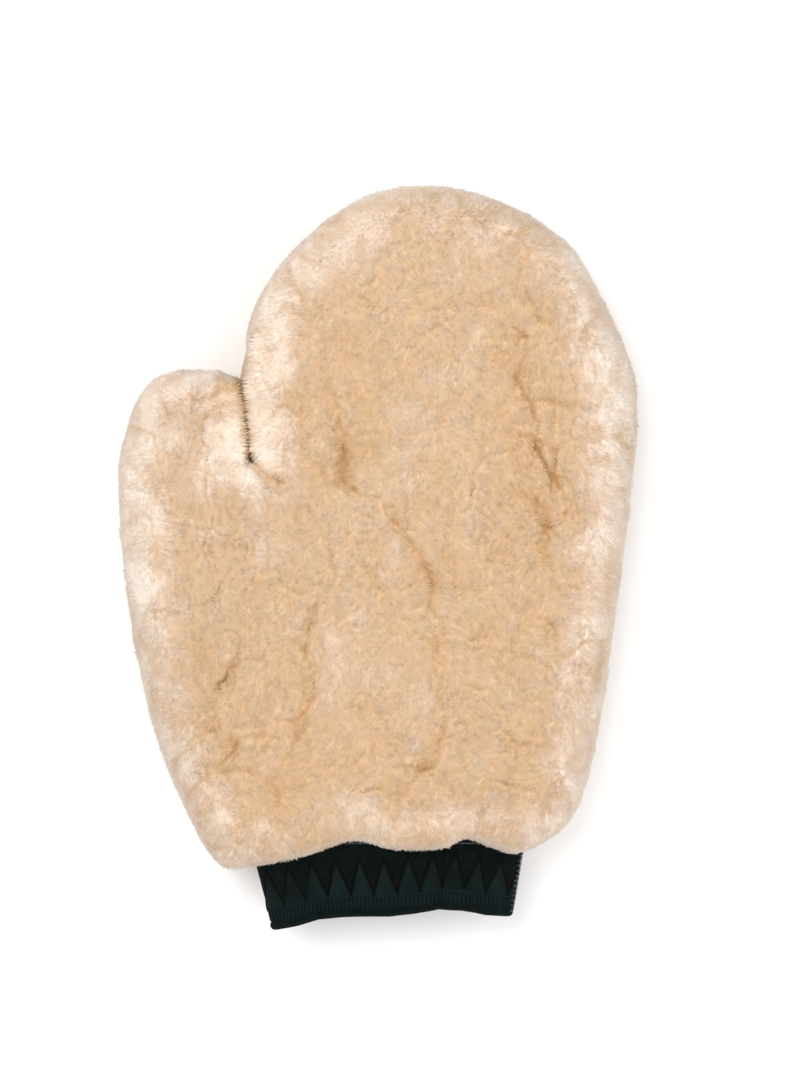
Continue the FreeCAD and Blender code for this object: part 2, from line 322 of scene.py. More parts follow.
wool = {
    "inset": 2.2 * mm,          # the base lies inside the tips of its locks
    "edgeReach": 24 * mm,       # how far in from the edge the pillow goes on rising
    "slitReachBack": 14 * mm,   # the same on the back
    "slitReach": 4.2 * mm,       # and beside the slit, where hand and thumb press together
    "press": 1.5 * mm,
    "edgePower": 2.2,           # fullness of the edge
    "underTop": 2.4 * mm,       # base below the top of the box
    "aboveTable": 0.9 * mm,
    "skin": 11.0 * mm,          # its inner side's height either way from the middle
    "cuffGap": 0.5 * mm,        # between the cuff and the wool's edge on it
    "wristFrom": -0.30,         # shares of the length where the edge opens to the cuff's oval
    "wristTo": -0.37,
    "pressFrom": 26 * mm,       # from the slit's end, where the press gives way to the inset
    "pressTo": 46 * mm,
    "pressStart": 2.5 * mm,     # and where it starts
    "handCentre": np.array([0.015, 0.015]),      # the rings of each grid close in on its centre
    "thumbCentre": np.array([-0.068, 0.005]),
    "handGrid": 212,
    "thumbGrid": 150,
}
cuffLow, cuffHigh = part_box("cuff_zigzag_band")
ribLow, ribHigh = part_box("cuff_rib_band")
cuff = {
    "centreX": (cuffLow.x + cuffHigh.x) / 2,
    "halfHeight": (cuffHigh.z - cuffLow.z) / 2,
    "joinY": ribHigh.y,
    "halfWidth": (ribHigh.x - ribLow.x) / 2,       # where the two bands join
    "spread": (cuffHigh.x - cuffLow.x - ribHigh.x + ribLow.x) / 2 / (cuffHigh.y - ribHigh.y),
}


def cuffHalfWidth(y):
    return cuff["halfWidth"] + cuff["spread"] * (y - cuff["joinY"])


def insetLine(line, slitAtStart):
    # moves a clockwise line inwards, and along the slit outwards, where the two sides press together
    step = np.gradient(line, axis=0)
    inward = np.stack([step[:, 1], -step[:, 0]], axis=1)
    inward /= np.linalg.norm(inward, axis=1)[:, None]
    away = np.linalg.norm(line - (line[0] if slitAtStart else line[-1]), axis=1)
    parting = smooth(wool["pressFrom"], wool["pressTo"], away)
    shift = (wool["inset"] + wool["press"]) * parting - wool["press"]
    return line + inward * (shift * smooth(0, wool["pressStart"], away))[:, None]


handLine = insetLine(throughPoints(inPlan(outline["hand"]), 330), True)
thumbLine = insetLine(throughPoints(inPlan(outline["thumb"]), 220), False)
thumbLine[0] = handLine[-1] = (thumbLine[0] + handLine[-1]) / 2
slitLine = np.vstack([handLine[22::-1], thumbLine[:-25:-1]])
# each side's edge leaves out the other side of the slit
edgeLine = {"hand": np.vstack([handLine, thumbLine[1:130]]),
            "thumb": np.vstack([handLine[200:], thumbLine[1:]])}

foldAxis = np.array(foldJoint["axis"][:2]) / np.linalg.norm(foldJoint["axis"][:2])
foldPoint = np.array(foldJoint["pos_m"][:2])
intoHand = np.array([foldAxis[1], -foldAxis[0]])
bendHalf = 13 * mm    # the wool bends over this far on either side of the fold

# the crotch crease runs from the slit's end into the palm, past where the thumb stops bending
creaseEnd = foldPoint + intoHand * (bendHalf + 1.2 * mm) - foldAxis * 6 * mm
creaseLine = throughPoints([handLine[0], handLine[0] * 0.45 + creaseEnd * 0.55 - foldAxis * 1.5 * mm,
                            creaseEnd], 14)
cutLine = evenly(np.array([creaseEnd, handLine[-1]]), 60)


def regionLoop(side, samples):
    # the closed border of the hand's or the thumb's wool, anticlockwise
    if side == "hand":
        loop = np.vstack([handLine, cutLine[::-1][1:], creaseLine[::-1][1:]])
    else:
        loop = np.vstack([thumbLine, creaseLine[1:], cutLine[1:]])
    return evenly(loop[::-1], samples + 1)


def planOf(a, b, loop, centre, edgeShare=0.30):
    # (a, b) from -1 to 1 over the region: square rings about the centre, opened out to the border,
    # their spacing closing up towards it so that the steep edge gets its share
    ring = np.maximum(np.abs(a), np.abs(b))
    safe = np.where(ring == 0, 1, ring)
    round8 = np.where(np.abs(a) >= np.abs(b), np.where(a > 0, b / safe, 4 - b / safe),
                      np.where(b > 0, 2 - a / safe, 6 + a / safe)) % 8
    place = round8 / 8 * (len(loop) - 1)
    first = np.minimum(np.floor(place + 1e-9).astype(int), len(loop) - 2)
    share = np.clip(place - first, 0, 1)[..., None]
    edge = loop[first] * (1 - share) + loop[first + 1] * share
    gap = 1 - ring
    inwards = np.where(gap < edgeShare, gap ** 2 / (2 * edgeShare), gap - edgeShare / 2)
    return centre + (edge - centre) * (1 - inwards / (1 - edgeShare / 2))[..., None]


# creases of the palm: points as shares, depth and half width in mm, and how golden they are, which is
# partly the wool's deeper colour and partly painted shade
palmCreases = [
    ([(-0.101, 0.236), (-0.080, 0.191), (-0.059, 0.142), (-0.065, 0.102), (-0.021, 0.078),
      (0.010, 0.072), (0.036, 0.042), (0.065, 0.014), (0.091, -0.015), (0.104, -0.045),
      (0.103, -0.085)], 2.4, 2.4, 0.75),
    ([(0.103, -0.085), (0.110, -0.150), (0.121, -0.200), (0.100, -0.260), (0.056, -0.310)],
     1.6, 3.0, 0.5),
    ([(0.260, 0.236), (0.283, 0.207), (0.295, 0.188), (0.300, 0.152), (0.313, 0.125),
      (0.328, 0.102), (0.322, 0.083)], 2.6, 1.6, 1.0),
    ([(0.291, 0.085), (0.318, 0.048), (0.305, 0.020), (0.318, -0.018)], 1.6, 1.7, 0.6),
    ([(0.256, 0.140), (0.202, 0.128), (0.178, 0.103), (0.183, 0.070), (0.214, 0.049), (0.237, 0.040)],
     1.4, 1.0, 0.55),
    ([(0.239, 0.427), (0.283, 0.432)], 1.4, 1.2, 0.7),
    ([(0.285, 0.405), (0.268, 0.380), (0.283, 0.348), (0.300, 0.319), (0.326, 0.307), (0.338, 0.319),
      (0.335, 0.340)], 1.5, 1.3, 0.6),
    ([(0.256, 0.303), (0.285, 0.291)], 2.0, 1.4, 1.0),
    ([(0.010, 0.420), (0.060, 0.409), (0.110, 0.417), (0.160, 0.408)], 1.1, 1.1, 0.4),
    ([(-0.040, 0.345), (0.010, 0.330), (0.050, 0.338)], 1.0, 1.3, 0.35),
    ([(0.065, 0.113), (0.100, 0.108), (0.125, 0.113)], 1.0, 0.9, 0.4),
    ([(-0.108, -0.040), (-0.133, -0.110), (-0.120, -0.175), (-0.150, -0.235), (-0.176, -0.270)],
     1.9, 1.6, 0.8),
    ([(-0.254, -0.110), (-0.268, -0.140), (-0.280, -0.150), (-0.294, -0.178)], 1.7, 1.4, 0.85),
    ([(0.190, -0.240), (0.230, -0.225), (0.262, -0.250), (0.300, -0.245)], 1.2, 1.5, 0.45),
    ([(-0.080, -0.290), (-0.030, -0.310), (0.020, -0.300)], 1.2, 1.4, 0.45),
    ([(-0.168, 0.010), (-0.190, -0.045), (-0.180, -0.090)], 1.0, 1.3, 0.4),
    ([(-0.307, 0.154), (-0.318, 0.097), (-0.307, 0.046), (-0.326, 0.015), (-0.316, -0.005),
      (-0.321, -0.041)], 1.5, 1.0, 0.15),
    ([(-0.417, 0.046), (-0.365, 0.043), (-0.311, 0.035), (-0.290, 0.028), (-0.257, 0.035)],
     1.0, 0.8, 0.15),
    ([(-0.315, 0.209), (-0.294, 0.221), (-0.264, 0.222), (-0.249, 0.205)], 1.6, 1.3, 0.8),
    ([(-0.312, -0.046), (-0.290, -0.054), (-0.310, -0.100)], 1.0, 1.0, 0.4),
]
# wide golden and rosy areas of the palm: place and radii as shares, and amount. The golden band along
# the bottom edge and the golden spot where the thumb's tip meets the hand are painted shade; the band
# along the top edge makes the wool darker there.
palmTints = [
    (-0.075, 0.140, 0.075, 0.110, 0.34), (0.285, 0.140, 0.070, 0.130, 0.38),
    (-0.030, 0.300, 0.090, 0.070, 0.16), (0.090, -0.050, 0.060, 0.120, 0.22),
    (-0.320, -0.200, 0.090, 0.110, 0.22), (-0.150, -0.180, 0.060, 0.120, 0.18),
    (0.200, -0.100, 0.130, 0.120, 0.10), (0.300, -0.250, 0.120, 0.080, 0.16),
    (0.010, -0.270, 0.110, 0.070, 0.14), (-0.360, 0.130, 0.120, 0.110, -0.05),
    (-0.200, 0.220, 0.075, 0.190, -0.12), (-0.170, 0.020, 0.070, 0.090, -0.08),
    (0.430, 0.150, 0.050, 0.200, -0.10), (0.000, -0.390, 0.300, 0.045, 0.65),
    (-0.480, 0.040, 0.055, 0.220, -0.35), (-0.300, 0.080, 0.120, 0.100, -0.02),
    (-0.270, 0.225, 0.030, 0.022, 0.60), (0.060, 0.470, 0.250, 0.040, 0.30),
]


def creaseNet(x, y, size, width, seed):
    # valleys of nearly even width along the lines where a warped noise is zero
    warpX = x + 0.35 * size * noise(x, y, size * 0.9, seed + 5)
    warpY = y + 0.35 * size * noise(x, y, size * 0.9, seed + 9)
    step = 0.2 * mm
    here = noise(warpX, warpY, size, seed)
    slopeX = (noise(warpX + step, warpY, size, seed) - here) / step
    slopeY = (noise(warpX, warpY + step, size, seed) - here) / step
    away = np.abs(here) / np.maximum(np.hypot(slopeX, slopeY), 0.25 / size)
    return np.exp(-(away / width) ** 2)


def woolRelief(x, y, palm):
    # height of the wool over its smooth pillow, and how golden it is there, with painted shade in its
    # hollows and painted highlight on its rises
    seed = 40 if palm else 340
    depth, gold = np.zeros(x.shape), np.zeros(x.shape)
    if palm:
        wobbleX = x + 1.1 * mm * noise(x, y, 7 * mm, seed + 1, 2)
        wobbleY = y + 1.1 * mm * noise(x, y, 7 * mm, seed + 2, 2)
        beads = 0.62 + 0.50 * noise(x, y, 4.2 * mm, seed + 3, 2)
        for points, deep, half, creaseShadeAmount in palmCreases:
            line = throughPoints(inPlan(points), 5 * len(points))
            away, share = distanceToLine(wobbleX, wobbleY, line)
            ends = smooth(0, 0.16, share) * smooth(1, 0.84, share)
            valley = np.exp(-(away / (0.55 * half * mm)) ** 2) * (0.35 + 0.65 * ends) * beads
            lip = np.exp(-((away - 2.0 * half * mm) / (1.0 * half * mm)) ** 2) * ends
            depth += 0.52 * deep * mm * (valley - 0.22 * lip)
            # darker golden along each crease and in a halo round it: partly the wool's deeper colour,
            # partly painted shade; the raised lip beside it is made paler as a painted highlight
            creaseShade = 0.85 * creaseShadeAmount * np.exp(-(away / (0.60 * half * mm)) ** 2)
            gold += creaseShade * (0.3 + 0.7 * ends) * beads
            gold += 0.30 * creaseShadeAmount * np.exp(-(away / (2.2 * half * mm)) ** 2) * ends - 0.20 * lip
        for cx, cy, rx, ry, amount in palmTints:
            squared = ((x / mittWidth - cx) / rx) ** 2 + ((y / mittLength - cy) / ry) ** 2
            gold += amount * np.exp(-squared)
    warpX = x + 2.0 * mm * noise(x, y, 11 * mm, seed + 30, 2)
    warpY = y + 2.0 * mm * noise(x, y, 11 * mm, seed + 31, 2)
    patches = noise(x, y, 26 * mm, seed + 11, 2)
    coarse = creaseNet(x, y, 17 * mm, 1.2 * mm, seed + 20) * smooth(-0.1, 0.9, patches)
    fine = creaseNet(x, y * 0.75, 7.5 * mm, 0.75 * mm, seed + 60) * smooth(
        -0.9, 0.5, noise(x, y, 15 * mm, seed + 12))
    clumps = noise(warpX, warpY * 0.6, 4.6 * mm, seed + 75, 2)
    tufts = noise(x, y, 2.6 * mm, seed + 70, 2)
    hills = noise(x, y, 34 * mm, seed + 80, 2)
    depth += (0.55 * coarse + 0.40 * fine) * mm
    # darker golden along the crease nets: partly the wool's deeper colour, partly painted shade; paler
    # on the raised clumps, tufts and hills: painted highlight
    gold += 0.50 * coarse + 0.34 * fine - 0.18 * clumps - 0.08 * tufts - 0.12 * hills
    gold += 0.18 * noise(x, y, 14 * mm, seed + 90, 3)
    return (0.8 * hills + 0.34 * clumps + 0.16 * tufts) * mm - depth, gold


tint = {
    "middle": 0.47,             # place on the wool's ramp of the plain middle of the palm
    "gain": 0.46,
    "rim": 0.29,                # how much paler the rim is
    "rimReach": (27 * mm, 7 * mm),
    "border": 0.15,
    "borderReach": (0.2 * mm, 5 * mm),
    # gold along the slit is painted shade where hand and thumb press together, strongest on the thumb
    # under the hand's edge
    "slit": {"hand": 0.15, "thumb": 0.5},
    "slitReach": 1.8 * mm,
    # the crotch crease's gold is partly the wool's deeper colour and partly painted shade
    "crotch": 0.85,
    "crotchReach": 2.4 * mm,
    "crotchDepth": 1.5 * mm,
    "crotchHalf": 1.7 * mm,
}


def woolHeight(x, y, palm, side):
    # the base rises from the middle at its edge along a full round and carries the relief;
    # at the wrist it starts from the cuff's oval
    away, _ = distanceToLine(x, y, edgeLine[side])
    slit, _ = distanceToLine(x, y, slitLine)
    beside = smooth(20 * mm, 7 * mm, slit)
    narrow = wool["slitReach"] if palm else wool["slitReachBack"]
    reach = wool["edgeReach"] + (narrow - wool["edgeReach"]) * beside
    rise = 1 - (1 - np.clip(away / reach, 0, 1)) ** wool["edgePower"]
    rise = rise ** (1 / wool["edgePower"])
    height, gold = woolRelief(x, y, palm)
    crotch, _ = distanceToLine(x, y, creaseLine)
    # palm and back have the same tint where they meet
    border = tint["border"] * noise(x, y, 12 * mm, 700, 2) - 0.06
    gold = border + (gold - border) * smooth(*tint["borderReach"], away)
    if palm:
        height -= tint["crotchDepth"] * np.exp(-(crotch / tint["crotchHalf"]) ** 2)
        # darker golden in the crotch crease: partly the wool's deeper colour, partly painted shade
        gold += tint["crotch"] * np.exp(-(crotch / tint["crotchReach"]) ** 2)
    oval = np.clip(1 - ((x - cuff["centreX"]) / (cuffHalfWidth(y) + wool["cuffGap"])) ** 2, 0, 1) ** 0.5
    wrist = ((cuff["halfHeight"] + wool["cuffGap"]) * oval
             * smooth(wool["wristFrom"] * mittLength, wool["wristTo"] * mittLength, y))
    full = midHeight - (wool["underTop"] if palm else wool["aboveTable"])
    up = wrist + (full - wrist) * rise + height * smooth(0, 14 * mm, away) * (1 if palm else 0.5)
    up = up if palm else np.minimum(up, full)
    gold = tint["middle"] + tint["gain"] * gold - tint["rim"] * smooth(*tint["rimReach"], away)
    # painted shade along the slit
    gold += tint["slit"][side] * np.exp(-(slit / tint["slitReach"]) ** 2)
    return up, gold, away


def woolBase(name, side, count, centre, material):
    # a closed skin: the outer side is two relief grids, palm and back, that share the outline; the
    # inner side is rings of the same border drawn in to the centre; walls join them along cuts
    a, b = np.meshgrid(np.linspace(-1, 1, count), np.linspace(-1, 1, count), indexing="xy")
    border = 4 * (count - 1)
    loop = regionLoop(side, border)
    plan = planOf(a, b, loop, centre)
    edge = np.concatenate([np.arange(count) * count + count - 1,
                           (count - 1) * count + np.arange(count - 2, -1, -1),
                           np.arange(count - 2, -1, -1) * count, np.arange(1, count - 1)])
    rings = np.array([1.0, 0.93, 0.75, 0.5, 0.25, 0.0])[:, None]
    vertices, blocks, maps, gold, first, outer = [], [], [], [], 0, {}
    for palm in (True, False):
        left = 0.002 if palm else 0.502
        up, shade, away = woolHeight(plan[..., 0], plan[..., 1], palm, side)
        up = np.where((away < 1e-6) & (up < 0.2 * mm), 0, up)
        sign = 1 if palm else -1
        top = np.dstack([plan, midHeight + sign * up])
        outer[palm] = (top, shade, away)
        edgePlan, edgeUp = plan.reshape(-1, 2)[edge], up.ravel()[edge]
        cutOpen = edgeUp > 0
        reach = rings * np.where(cutOpen, 1, 0.985)
        inner = centre + (edgePlan - centre)[None] * reach[..., None]
        within, _ = distanceToLine(inner[..., 0], inner[..., 1], edgeLine[side])
        skin = wool["skin"] * smooth(1 * mm, 13 * mm, within) ** 0.5
        skin[0] = np.where(cutOpen, np.minimum(skin[0], edgeUp), 0)
        under = np.dstack([inner, midHeight + sign * skin])
        blocks.append((gridFaces(count, count) + first)[:, ::sign])
        maps.append(gridUV(count - 1, count - 1, (left, 0.0), (left + 0.496, 0.86))[:, ::sign])
        start = first + count * count
        blocks.append((gridFaces(len(rings), border, wrapColumns=True) + start)[:, ::-sign])
        maps.append(gridUV(len(rings) - 1, border, (left, 0.87), (left + 0.496, 0.97))[:, ::-sign])
        here = np.flatnonzero(cutOpen | np.roll(cutOpen, -1))
        ahead = (here + 1) % border
        wall = np.stack([edge[here] + first, edge[ahead] + first, start + ahead, start + here], axis=1)
        blocks.append(wall[:, ::-sign])
        maps.append(gridUV(1, border, (left, 0.98), (left + 0.496, 1.0))[here][:, ::-sign])
        vertices += [top.reshape(-1, 3), under.reshape(-1, 3)]
        gold += [shade.ravel(), np.full(len(rings) * border, 0.3)]
        first = start + len(rings) * border
    vertices, gold = np.vstack(vertices), np.concatenate(gold)
    _, chosen, merged = np.unique(np.round(vertices / 1e-7).astype(np.int64), axis=0,
                                  return_index=True, return_inverse=True)
    quads, uv = merged.ravel()[np.concatenate(blocks)], np.concatenate(maps)
    same = quads == np.roll(quads, -1, axis=1)
    whole, three = same.sum(1) == 0, same.sum(1) == 1
    keep = np.sort(np.argsort(same[three], axis=1, kind="stable")[:, :3], axis=1)
    triangles = np.take_along_axis(quads[three], keep, axis=1)
    corners = np.concatenate([uv[whole].reshape(-1, 2),
                              np.take_along_axis(uv[three], keep[..., None], axis=1).reshape(-1, 2)])
    made = buildMesh(name, vertices[chosen], [quads[whole], triangles], material, corners,
                     {"gold": gold[chosen]})
    return made, outer


locks = {
    "hand": 150000,
    "thumb": 50000,
    "perPiece": 20000,          # four triangles each
    "underShare": 0.6,          # how thickly the underside is covered
    "length": 2.9 * mm,
    "width": 0.80 * mm,
    "thickness": 0.30 * mm,
    "sunk": 0.35 * mm,
    "comb": -1.9,               # the way that the nap lies, in radians
    "swing": 1.3,               # how far the nap turns from it
    "swingSizes": (38 * mm, 8 * mm),
    "stray": 0.30,
    "rimReach": (19 * mm, 3 * mm),
    "outward": 1.4,             # pull of the rim, and of the high ground beside creases
    "uphill": 0.9,
    "lengths": (0.65, 1.3),
    "lifts": (0.04, 0.18),
    "sway": 0.12,
}


def lockRoots(outer, count):
    # places on the outer grids, by area, with the surface's normal, gold with its painted shade, and
    # distance to the edge
    found = []
    areas = {}
    for palm, (top, shade, away) in outer.items():
        spanA, spanB = top[1:, 1:] - top[:-1, :-1], top[1:, :-1] - top[:-1, 1:]
        areas[palm] = 0.5 * np.linalg.norm(np.cross(spanA, spanB), axis=2)
    total = areas[True].sum() + locks["underShare"] * areas[False].sum()
    for palm, (top, shade, away) in outer.items():
        number = int(count * areas[palm].sum() * (1 if palm else locks["underShare"]) / total)
        quad = rng.choice(areas[palm].size, number, p=areas[palm].ravel() / areas[palm].sum())
        i, j = np.divmod(quad, areas[palm].shape[1])
        u, v = rng.random(number), rng.random(number)
        weights = [((1 - u) * (1 - v), i, j), (u * (1 - v), i, j + 1), ((1 - u) * v, i + 1, j),
                   (u * v, i + 1, j + 1)]
        normal = np.cross(np.gradient(top, axis=1), np.gradient(top, axis=0)) * (1 if palm else -1)
        normal /= np.maximum(np.linalg.norm(normal, axis=2), 1e-15)[..., None]
        fields = np.dstack([top, normal, shade, away])
        found.append(sum(w[:, None] * fields[ii, jj] for w, ii, jj in weights))
    return np.vstack(found)


def lockShapes(roots, line):
    # a lock is a three-sided spike: it leaves along the normal a little and lies over along the nap,
    # outwards at the rim and away from creases
    count = len(roots)
    root, normal, gold, away = roots[:, :3], roots[:, 3:6].copy(), roots[:, 6], roots[:, 7]
    normal /= np.linalg.norm(normal, axis=1)[:, None]
    x, y = root[:, 0], root[:, 1]
    wide, narrow = locks["swingSizes"]
    angle = (locks["comb"] + locks["swing"] * noise(x, y, wide, 500, 2)
             + locks["swing"] * noise(x, y, narrow, 510, 2)
             + locks["stray"] * rng.standard_normal(count))
    flow = np.stack([np.cos(angle), np.sin(angle), np.zeros(count)], axis=1)
    _, share = distanceToLine(x, y, line)
    place = share * (len(line) - 1)
    low = np.minimum(place.astype(int), len(line) - 2)
    nearest = line[low] + (line[low + 1] - line[low]) * (place - low)[:, None]
    outward = np.column_stack([nearest - root[:, :2], np.zeros(count)])
    outward /= np.maximum(np.linalg.norm(outward, axis=1), 1e-9)[:, None]
    rim = smooth(*locks["rimReach"], away)[:, None]
    uphill = np.column_stack([-normal[:, :2], np.zeros(count)])
    wanted = (flow * (1 - 0.75 * rim) + locks["outward"] * rim * outward
              + locks["uphill"] * (1 - rim) * uphill)
    wanted -= normal * (wanted * normal).sum(1)[:, None]
    size = np.linalg.norm(wanted, axis=1)[:, None]
    lean = wanted / np.maximum(size, 0.75 - 0.45 * rim)
    side = np.cross(normal, wanted / np.maximum(size, 1e-9))
    length = locks["length"] * rng.uniform(*locks["lengths"], count)[:, None]
    upright = 1 - np.linalg.norm(lean, axis=1)
    lift = rng.uniform(*locks["lifts"], count)[:, None] + 0.45 * upright[:, None]
    sway = rng.normal(0, locks["sway"], count)[:, None]
    tip = root + length * (0.95 * lean + lift * normal + sway * side)
    root = root - normal * locks["sunk"]
    wide = locks["width"] * rng.uniform(0.6, 1.35, count)[:, None] * side / 2
    thick = (locks["sunk"] + locks["thickness"] * rng.uniform(0.5, 1.2, count)[:, None]) * normal
    points = np.stack([root - wide, root + wide, root + thick, tip], axis=1)
    floor = 0.4 * mm
    points[..., 2] = np.where(points[..., 2] < floor, floor * np.exp(points[..., 2] / floor - 1),
                              points[..., 2])
    own = rng.normal(0, 0.035, count)[:, None]
    # roots a little more golden than the tips: partly the wool's deeper colour, partly painted shade
    # between the locks
    tone = gold[:, None] + own + np.array([0.06, 0.06, 0.04, -0.03])
    normals = normal[:, None] + np.stack([-side, side, 0 * side, lean], axis=1) * 0.22
    return points, tone, normals / np.linalg.norm(normals, axis=2)[..., None]


lockFaces = np.array([[0, 1, 3], [1, 2, 3], [2, 0, 3], [0, 2, 1]])
lockUV = np.array([[[k / 3, 0.25], [(k + 1) / 3, 0.25], [(k + 0.5) / 3, 1.0]] for k in range(3)]
                  + [[[0, 0.22], [0.5, 0.0], [1, 0.22]]])


def buildLocks(name, points, tone, normals, material):
    count = len(points)
    cells = math.ceil(math.sqrt(count))
    corner = np.stack(np.divmod(np.arange(count), cells), axis=1)[:, None, None, :]
    uv = (corner + 0.1 + 0.8 * lockUV[None]).reshape(-1, 2) / cells
    faces = (lockFaces[None] + 4 * np.arange(count)[:, None, None]).reshape(-1, 3)
    made = buildMesh(name, points.reshape(-1, 3), [faces], material, uv, {"gold": tone},
                     normals.reshape(-1, 3))
    return made


woolFinish = {
    "stops": [(0.0, (0.965, 0.855, 0.745)), (0.22, (0.780, 0.612, 0.478)), (0.42, (0.662, 0.474, 0.318)),
              (0.68, (0.650, 0.430, 0.250)), (1.0, (0.460, 0.265, 0.115))],
    "sheen": 0.12,
}


def makeWool():
    board = Board("sheared sheepskin wool")
    # the attribute holds the wool's own tone together with painted shade in creases and along the slit,
    # and painted highlight on raised clumps
    tone = board.own("gold") + (board.noise(5 * mm, 4.0) - 0.5) * 0.2
    colour = board.ramp(tone, woolFinish["stops"])
    return board.finish({"Base Color": colour, "Roughness": 0.85, "Sheen Weight": woolFinish["sheen"],
                         "Sheen Roughness": 0.45, "Specular IOR Level": 0.15,
                         "Normal": board.bump(board.noise(0.7 * mm, 3.0), 0.25 * mm, 0.6)})


def makeKnit(name, dark, light, across, along):
    # plain knit: fine rows of stitches over the piece's own map
    board = Board(name)
    spot = board.add("ShaderNodeUVMap", {"uv_map": "OFBake"}, {})[0]
    scaled = board.add("ShaderNodeVectorMath", {"operation": "MULTIPLY"},
                       {0: spot, 1: (across, along, 1)})[0]
    rows = board.add("ShaderNodeTexWave", {"wave_type": "BANDS", "bands_direction": "Y"},
                     {"Vector": scaled, "Scale": 0.31831, "Distortion": 0.6, "Detail": 2.0,
                      "Detail Scale": 3.0})[1]
    columns = board.add("ShaderNodeTexWave", {"wave_type": "BANDS", "bands_direction": "X"},
                        {"Vector": scaled, "Scale": 0.31831, "Distortion": 0.4})[1]
    stitch = rows * 0.6 + columns * 0.4
    cloud = board.noise(5 * mm, 3.0)
    shape = board.own("shape")
    # the value read from the mesh lightens raised wedges and rib crests and darkens the grooves between
    # them: painted highlight and painted shade
    colour = board.ramp(stitch * 0.25 + cloud * 0.35 + shape * 0.4, [(0.22, dark), (0.72, light)])
    return board.finish({"Base Color": colour, "Roughness": 0.85, "Sheen Weight": 0.02,
                         "Sheen Roughness": 0.4, "Specular IOR Level": 0.06,
                         "Normal": board.bump(stitch, 0.25 * mm, 0.9)})


def makeThread(name, dark, light, darkTo=0.3, lightFrom=0.7):
    board = Board(name)
    colour = board.ramp(board.noise(1.2 * mm, 2.0), [(darkTo, dark), (lightFrom, light)])
    return board.finish({"Base Color": colour, "Roughness": 0.7,
                         "Normal": board.bump(board.noise(0.4 * mm, 2.0), 0.1 * mm)})


def makeSuede():
    board = Board("suede side of the skin")
    colour = board.ramp(board.noise(4 * mm, 5.0), [(0.3, (0.56, 0.44, 0.31)), (0.7, (0.72, 0.60, 0.45))])
    return board.finish({"Base Color": colour, "Roughness": 0.92, "Sheen Weight": 0.2,
                         "Normal": board.bump(board.noise(0.8 * mm, 4.0), 0.3 * mm)})


bandShape = {
    "points": 23,               # peaks of the zigzag round the cuff
    "zigzagLow": 1.2 * mm,      # above where the bands join
    "zigzagHigh": 15.0 * mm,
    "raised": 0.55 * mm,
    "ribs": 128,
    "ribDepth": 0.55 * mm,
    "thickness": 1.2 * mm,
    "ribHeight": 8.0 * mm,
    "skew": 0.05,               # sideways run of the cuff's middle towards its free edge
    # how far the lower edge rises, from the left to the right end, in mm
    "edgeRise": [0.1, 2.0, 4.8, 5.8, 6.1, 6.1, 7.2, 8.8, 8.3, 6.4, 5.6],
    "folds": [(0.42, -1.5, 0.035), (0.70, -1.3, 0.04), (-0.30, -0.7, 0.07), (0.08, -0.5, 0.05)],
}


def cuffPoint(turn, y, swell):
    # a point of the cuff's oval at that turn and height along the mitt, swollen outwards
    lean = np.sign(np.sin(turn)) * np.abs(np.sin(turn)) ** 0.92
    across = np.cos(turn)
    crease = sum(depth * mm * np.exp(-((across - place) / reach) ** 2)
                 for place, depth, reach in bandShape["folds"]) * smooth(0.1, 0.7, np.sin(turn))
    middle = cuff["centreX"] + bandShape["skew"] * (cuffHigh.y - y)
    x = middle + (cuffHalfWidth(y) + swell) * across
    z = midHeight + (cuff["halfHeight"] - 0.1 * mm + swell) * lean + crease
    return np.stack(np.broadcast_arrays(x, y, z), axis=-1)


def roundOval(columns):
    # turns that are evenly spaced along the oval, and the share of the way round of each
    turn = np.linspace(0, 2 * np.pi, 4001)
    ring = cuffPoint(turn, cuff["joinY"] + 0 * turn, 0)
    run = np.concatenate([[0], np.cumsum(np.linalg.norm(np.diff(ring, axis=0), axis=1))])
    share = np.arange(columns) / columns
    return np.interp(share * run[-1], run, turn), share


def lowerEdge(turn):
    # how far the cuff's lower edge has risen at each turn; the far layer ends a little higher
    shares = (1 + np.cos(turn)) / 2
    rise = np.interp(shares, np.linspace(0, 1, len(bandShape["edgeRise"])), bandShape["edgeRise"])
    return (rise + 0.8 * smooth(0, -0.5, np.sin(turn))) * mm


def closedTube(name, rows, shape, material, slotName):
    # rows of rings that run down the outside and back up the inside
    count, columns = rows.shape[:2]
    faces = gridFaces(count, columns, True, True)[:, ::-1]
    uv = gridUV(count, columns)[:, ::-1].reshape(-1, 2)
    made = buildMesh(name, rows.reshape(-1, 3), [faces], material, uv, {"shape": shape})
    return made


def zigzagBand():
    turn, share = roundOval(660)
    down = np.concatenate([np.linspace(1, 0, 84), np.linspace(0, 1, 14)])[:, None]
    outside = (np.arange(98) < 84)[:, None]
    top = cuffHigh.y
    join = cadLow.y + 0.3 * mm + bandShape["ribHeight"] + lowerEdge(turn)[None, :]
    y = join - 0.4 * mm + (top - join) * down
    above = y - join
    wave = np.abs((share * bandShape["points"]) % 1 * 2 - 1)[None, :]
    line = bandShape["zigzagLow"] + (bandShape["zigzagHigh"] - bandShape["zigzagLow"]) * wave
    side = (line - above) * 0.30      # distance into the upright wedges, across their sides
    worn = 0.3 + 0.7 * smooth(-0.8, 0.5, noise(share[None, :] * 200 * mm + 0 * y, y, 15 * mm, 75, 2))
    wedge = worn * smooth(0, 1.1 * mm, side)
    groove = worn * np.exp(-(side / (0.45 * mm)) ** 2)
    soft = 0.35 * mm * noise(share[None, :] * 200 * mm + 0 * y, y, 9 * mm, 71, 2)
    raised = bandShape["raised"] * (wedge - 0.6 * groove) + soft
    swell = np.where(outside, raised, -bandShape["thickness"])
    ends = np.minimum(down, 1 - down) < 0.004
    swell = np.where(ends & outside, -0.35 * mm, swell)
    # lighter on the raised wedges and darker in the grooves: painted highlight and painted shade
    return cuffPoint(turn[None, :], y, swell), np.where(outside, 0.75 * wedge - 0.7 * groove, 0.2)


